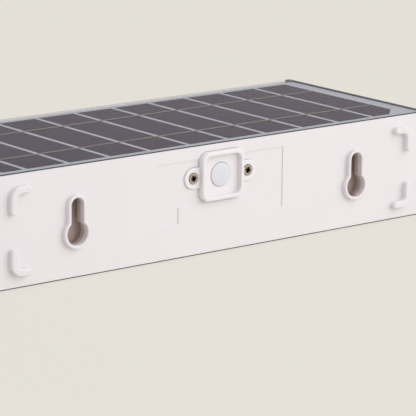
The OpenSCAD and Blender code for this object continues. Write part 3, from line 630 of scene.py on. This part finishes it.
def chip_parts():
    # Ceramic chip parts: brown and sand-coloured bodies of mixed batches with a fired grain
    material, tree, shader = new_finish("fired_ceramic_chips", "#8A6E52", roughness=0.45, IOR=1.5)
    place = add(tree, "ShaderNodeTexCoord")
    batch = add(tree, "ShaderNodeTexVoronoi", {"Vector": place.outputs["Object"],
                                               "Scale": 1 / (BATCH_PITCH * MM)})
    tone = add(tree, "ShaderNodeSeparateColor", {"Color": batch.outputs["Color"]})
    paint(tree, shader, tone.outputs[0], linear("#2B2A2A"), linear("#B08D66"))
    grain(tree, shader, pitch=0.08 * MM, depth=0.005 * MM)
    return material


def nylon():
    # Natural nylon: waxy cream white, deeper in tone where it is thick
    material, tree, shader = new_finish("natural_nylon", "#E6DFCC", roughness=0.4, IOR=1.53)
    mottle(tree, shader, "#E0D8C3", "#ECE6D6", size=1.5 * MM, detail=3)
    uneven_gloss(tree, shader, low=0.32, high=0.5, size=1 * MM)
    return material


def cell_wrap():
    # Lithium cell in a shrunk sleeve: smooth blue film, a white ring under it and plated ends
    material, tree, shader = new_finish("sleeved_lithium_cell", "#2C5F9E", roughness=0.25, IOR=1.5)
    low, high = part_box("battery_cell")
    middle = (low + high) / 2
    spot = split_place(tree)
    reach = from_axis(tree, spot["Y"], middle.y, spot["Z"], middle.z)
    end, ring = (add(tree, "ShaderNodeMath", {0: reach, 1: radius * MM}, operation="LESS_THAN")
                 for radius in (CELL_END_RADIUS, CELL_RING_RADIUS))
    sleeve = add(tree, "ShaderNodeMix", {"Factor": ring.outputs[0],
                                         "A": drift(tree, "#28578F", "#3167A8", size=9 * MM),
                                         "B": linear("#E4E4E0")}, data_type="RGBA")
    paint(tree, shader, end.outputs[0], sleeve.outputs["Result"], linear("#B9B7B0"))
    tree.links.new(end.outputs[0], shader.inputs["Metallic"])
    uneven_gloss(tree, shader, low=0.18, high=0.34, size=5 * MM)
    return material


def black_abs():
    # Black ABS strap: satin, with paler patches where it was bent
    material, tree, shader = new_finish("black_abs", "#262628", roughness=0.5, IOR=1.53)
    mottle(tree, shader, "#222224", "#2D2D30", size=5 * MM, detail=3)
    grain(tree, shader, pitch=0.4 * MM, depth=0.008 * MM)
    return material


def wire_pvc(name, low, high):
    # Soft PVC insulation: even colour with dull and shiny patches along the wire
    material, tree, shader = new_finish(name, low, roughness=0.4, IOR=1.52)
    mottle(tree, shader, low, high, size=3 * MM)
    uneven_gloss(tree, shader, low=0.3, high=0.55, size=2 * MM)
    return material


FINISHES = {
    "housing_abs": grey_abs(), "cover_abs": white_abs(), "panel_backing": panel_laminate(),
    "silicon": silicon(), "ribbon": tinned_copper(), "clear_film": clear_film(),
    "lens_pc": frosted_lens(), "button_silicone": button_silicone(), "steel_nickel": nickel(),
    "seal_silicone": seal_silicone(), "tape": foam_tape(), "reflector_white": reflector_white(),
    "led_board_white": white_board(), "led_phosphor": led_phosphor(), "steel_zinc": zinc(),
    "circuit_board": circuit_board(), "black_component": black_component(),
    "capacitor_sleeve": capacitor_sleeve(), "chip_parts": chip_parts(), "connector_nylon": nylon(),
    "cell_wrap": cell_wrap(), "clamp_abs": black_abs(),
    "wire_pvc": wire_pvc("black_pvc", "#1B1B1C", "#252526"),
}
RED_WIRE = wire_pvc("red_pvc", "#A81F1C", "#BC2A24")


def only(piece):
    """Selects this object alone and makes it active."""
    bpy.ops.object.select_all(action="DESELECT")
    piece.select_set(True)
    bpy.context.view_layer.objects.active = piece


def merged_copy(name, new_name):
    """A copy of a CAD node as one closed mesh with whole flat faces."""
    piece = nodes[name].copy()
    piece.data = nodes[name].data.copy()
    piece.name = new_name
    piece.parent = None
    piece.matrix_world = Matrix.Identity(4)
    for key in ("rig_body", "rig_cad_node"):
        if key in piece:
            del piece[key]
    bpy.context.scene.collection.objects.link(piece)
    only(piece)
    bpy.ops.object.mode_set(mode="EDIT")
    bpy.ops.mesh.select_all(action="SELECT")
    bpy.ops.mesh.remove_doubles(threshold=MERGE)
    bpy.ops.mesh.dissolve_limited(angle_limit=math.radians(FLAT_ANGLE))
    bpy.ops.object.mode_set(mode="OBJECT")
    return piece


def round_where(piece, width, segments, where):
    """Rounds the sharp edges whose middle is where the test says; width and places are in mm."""
    only(piece)
    shape = bmesh.new()
    shape.from_mesh(piece.data)
    for part in (*shape.verts, *shape.edges, *shape.faces):
        part.select = False
    for edge in shape.edges:
        if len(edge.link_faces) == 2 and edge.calc_face_angle(0) > math.radians(SHARP_ANGLE):
            if where((edge.verts[0].co + edge.verts[1].co) / 2 / MM):
                edge.select = True
    shape.select_flush_mode()
    shape.to_mesh(piece.data)
    shape.free()
    bpy.ops.object.mode_set(mode="EDIT")
    bpy.ops.mesh.select_mode(type="EDGE")
    bpy.ops.mesh.bevel(offset=width * MM, segments=segments, affect="EDGES", clamp_overlap=True)
    bpy.ops.object.mode_set(mode="OBJECT")


def finished(piece, slot, replaced, body="housing", finish=None):
    """Smooths the piece's rounded edges, gives it its finish and puts it in the frame."""
    only(piece)
    bpy.ops.object.shade_smooth_by_angle(angle=math.radians(SMOOTH_ANGLE))
    even = piece.modifiers.new("even", "WEIGHTED_NORMAL")
    even.keep_sharp = True
    bpy.ops.object.modifier_apply(modifier=even.name)
    piece.data.materials.clear()
    piece.data.materials.append(finish or FINISHES[slot])
    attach(piece, body)
    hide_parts(*replaced)


def everywhere(place):
    return True


def near(value, other):
    return abs(value - other) < SAME


def make_rear_cover():
    piece = merged_copy("rear_cover", "rear_cover_moulded")
    round_where(piece, RIB_ROUND, segments=4, where=lambda p: near(p.y, rib_face))
    round_where(piece, KEY_RIM_ROUND, segments=4, where=lambda p: near(p.y, key_face))
    round_where(piece, COVER_ROUND, segments=2, where=lambda p: p.y > wall_face - COVER_ROUND_DEPTH)
    finished(piece, "cover_abs", ["rear_cover"])


def halved(piece, height, keep_upper):
    """Cuts a merged piece level at that height and closes the part that stays."""
    only(piece)
    bpy.ops.object.mode_set(mode="EDIT")
    bpy.ops.mesh.select_all(action="SELECT")
    bpy.ops.mesh.bisect(plane_co=(0, 0, height), plane_no=(0, 0, 1), use_fill=True,
                        threshold=MERGE, clear_inner=keep_upper, clear_outer=not keep_upper)
    bpy.ops.object.mode_set(mode="OBJECT")


def make_film():
    """The panel's resin: a pale layer up to the cells' faces, and a clear sheet on top."""
    under = merged_copy("panel_film", "panel_encapsulant")
    sheet = merged_copy("panel_film", "panel_top_film")
    halved(under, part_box("solar_cells")[1].z - FILM_VEIL * MM, False)
    halved(sheet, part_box("busbar_ribbons")[1].z + FILM_VEIL * MM, True)
    finished(under, "panel_backing", ["panel_film"])
    finished(sheet, "clear_film", ["panel_film"])


def make_bezel():
    piece = merged_copy("button_bezel", "button_bezel_moulded")
    top = bezel_high.y
    half_h = (bezel_high.z - bezel_low.z) / 2
    middle = (bezel_high.z + bezel_low.z) / 2
    half_w = BEZEL_WIDTH / 2
    round_where(piece, BEZEL_OUTER_ROUND, segments=5, where=lambda p: near(p.y, top) and (
        abs(p.x) > half_w - BEZEL_OUTER_BAND or abs(p.z - middle) > half_h - BEZEL_OUTER_BAND))
    round_where(piece, BEZEL_INNER_ROUND, segments=3, where=lambda p: near(p.y, top))
    round_where(piece, BEZEL_HOLE_ROUND, segments=2,
                where=lambda p: Vector((p.x, 0, p.z - middle)).length < BEZEL_HOLE_REACH)
    round_where(piece, BEZEL_EAR_ROUND, segments=2,
                where=lambda p: p.y > wall_face and abs(p.x) > half_w)
    finished(piece, "cover_abs", ["button_bezel"], finish=bezel_abs())


def crown_rings(piece, face_y, axis_z):
    """Lays rings of edges into the button's flat face, for the crown."""
    for face in piece.data.polygons:
        face.select = face.normal.y > LEVEL and face.center.y > face_y - FACE_TOUCH * MM
    bpy.ops.object.mode_set(mode="EDIT")
    bpy.ops.mesh.select_mode(type="FACE")
    for ring in range(CROWN_RINGS):
        bpy.ops.mesh.extrude_region_move(TRANSFORM_OT_translate={"value": (0, 0, 0)})
        share = (CROWN_RINGS - ring) / (CROWN_RINGS - ring + 1)
        bpy.ops.transform.resize(value=(share, 1, share), center_override=(0, face_y, axis_z))
    bpy.ops.mesh.select_mode(type="VERT")
    bpy.ops.mesh.select_all(action="DESELECT")
    bpy.ops.object.mode_set(mode="OBJECT")


def make_button():
    """The button as moulded: its face is crowned from the middle down to the rounded edge."""
    piece = merged_copy("push_button", "push_button_moulded")
    face_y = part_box("push_button")[1].y
    axis_z = (bezel_low.z + bezel_high.z) / 2 * MM
    only(piece)
    bpy.ops.object.mode_set(mode="EDIT")
    bpy.ops.mesh.select_all(action="DESELECT")
    bpy.ops.object.mode_set(mode="OBJECT")
    crown_rings(piece, face_y, axis_z)
    points = [(corner.index, Vector((corner.co.x, 0, corner.co.z - axis_z)).length / MM)
              for corner in piece.data.vertices
              if corner.co.y > face_y - (CROWN + RING_TOUCH) * MM]
    for reach in sorted({round(distance, 2) for index, distance in points}):
        bpy.ops.object.mode_set(mode="EDIT")
        bpy.ops.mesh.select_all(action="DESELECT")
        bpy.ops.object.mode_set(mode="OBJECT")
        ring = [index for index, distance in points if abs(distance - reach) < RING_TOUCH]
        for index in ring:
            piece.data.vertices[index].select = True
        now = sum(piece.data.vertices[index].co.y for index in ring) / len(ring)
        wanted = min(now, face_y - CROWN * MM * (reach / BUTTON_RADIUS) ** CROWN_POWER)
        bpy.ops.object.mode_set(mode="EDIT")
        bpy.ops.transform.translate(value=(0, wanted - now, 0))
    bpy.ops.mesh.select_all(action="DESELECT")
    bpy.ops.object.mode_set(mode="OBJECT")
    for corner in piece.data.vertices:
        corner.select = corner.co.y > face_y - BARREL * MM
    bpy.ops.object.mode_set(mode="EDIT")
    bpy.ops.transform.resize(value=(BARREL_SWELL, 1, BARREL_SWELL),
                             center_override=(0, face_y, axis_z))
    bpy.ops.object.mode_set(mode="OBJECT")
    finished(piece, "button_silicone", ["push_button"], body="button")


def make_shell():
    """The housing, with the rim round the panel rounded more than the other edges."""
    piece = merged_copy("body_shell", "body_shell_soft")
    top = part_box("body_shell")[1].z / MM
    round_where(piece, RIM_ROUND, segments=4, where=lambda p: near(p.z, top))
    round_where(piece, SHELL_ROUND, segments=3, where=everywhere)
    finished(piece, "housing_abs", ["body_shell"])


def make_leads(name):
    """The two wires of a lead as a piece each: one in red insulation and one in black."""
    merged_copy(name, name + "_wire")
    bpy.ops.object.mode_set(mode="EDIT")
    bpy.ops.mesh.select_all(action="SELECT")
    bpy.ops.mesh.separate(type="LOOSE")
    bpy.ops.object.mode_set(mode="OBJECT")
    wires = sorted(bpy.context.selected_objects, key=lambda wire: wire.name)
    for wire, colour in zip(wires, ("red", "black")):
        wire.name = name + "_" + colour
        finished(wire, "wire_pvc", [name], finish=RED_WIRE if colour == "red" else None)


make_rear_cover()
make_film()
make_bezel()
make_button()
make_shell()

# Pieces whose edges are only softened: their slot, and the rounding in millimetres
SOFTENED = {
    "bezel_screws": ("steel_nickel", 0.1), "front_lens": ("lens_pc", 0.2),
    "battery_cell": ("cell_wrap", 0.5), "capacitor": ("capacitor_sleeve", 0.3),
    "charge_chip": ("black_component", 0.12), "switch_body": ("black_component", 0.15),
    "battery_clamp": ("clamp_abs", 0.25), "lead_plugs": ("connector_nylon", 0.15),
    "board_sockets": ("connector_nylon", 0.12), "led_chips": ("led_phosphor", 0.08),
}
for name, (slot, width) in SOFTENED.items():
    softened = merged_copy(name, name + "_soft")
    round_where(softened, width, segments=3, where=everywhere)
    finished(softened, slot, [name])

for lead in ("battery_leads", "panel_leads", "led_leads"):
    make_leads(lead)

# CAD nodes that stay as they are, with their slots
KEPT = {
    "panel_board": "panel_backing", "panel_tape": "tape", "solar_cells": "silicon",
    "busbar_ribbons": "ribbon", "rear_seal": "seal_silicone", "lens_seal": "seal_silicone",
    "button_seal": "seal_silicone", "reflector": "reflector_white", "led_board": "led_board_white",
    "led_screws": "steel_zinc", "board_screws": "steel_zinc", "clamp_screws": "steel_zinc",
    "main_board": "circuit_board", "cell_guard_board": "circuit_board",
    "switch_plunger": "black_component", "inductor": "black_component", "board_parts": "chip_parts",
}
for name, slot in KEPT.items():
    for place in nodes[name].material_slots:
        place.material = FINISHES[slot]
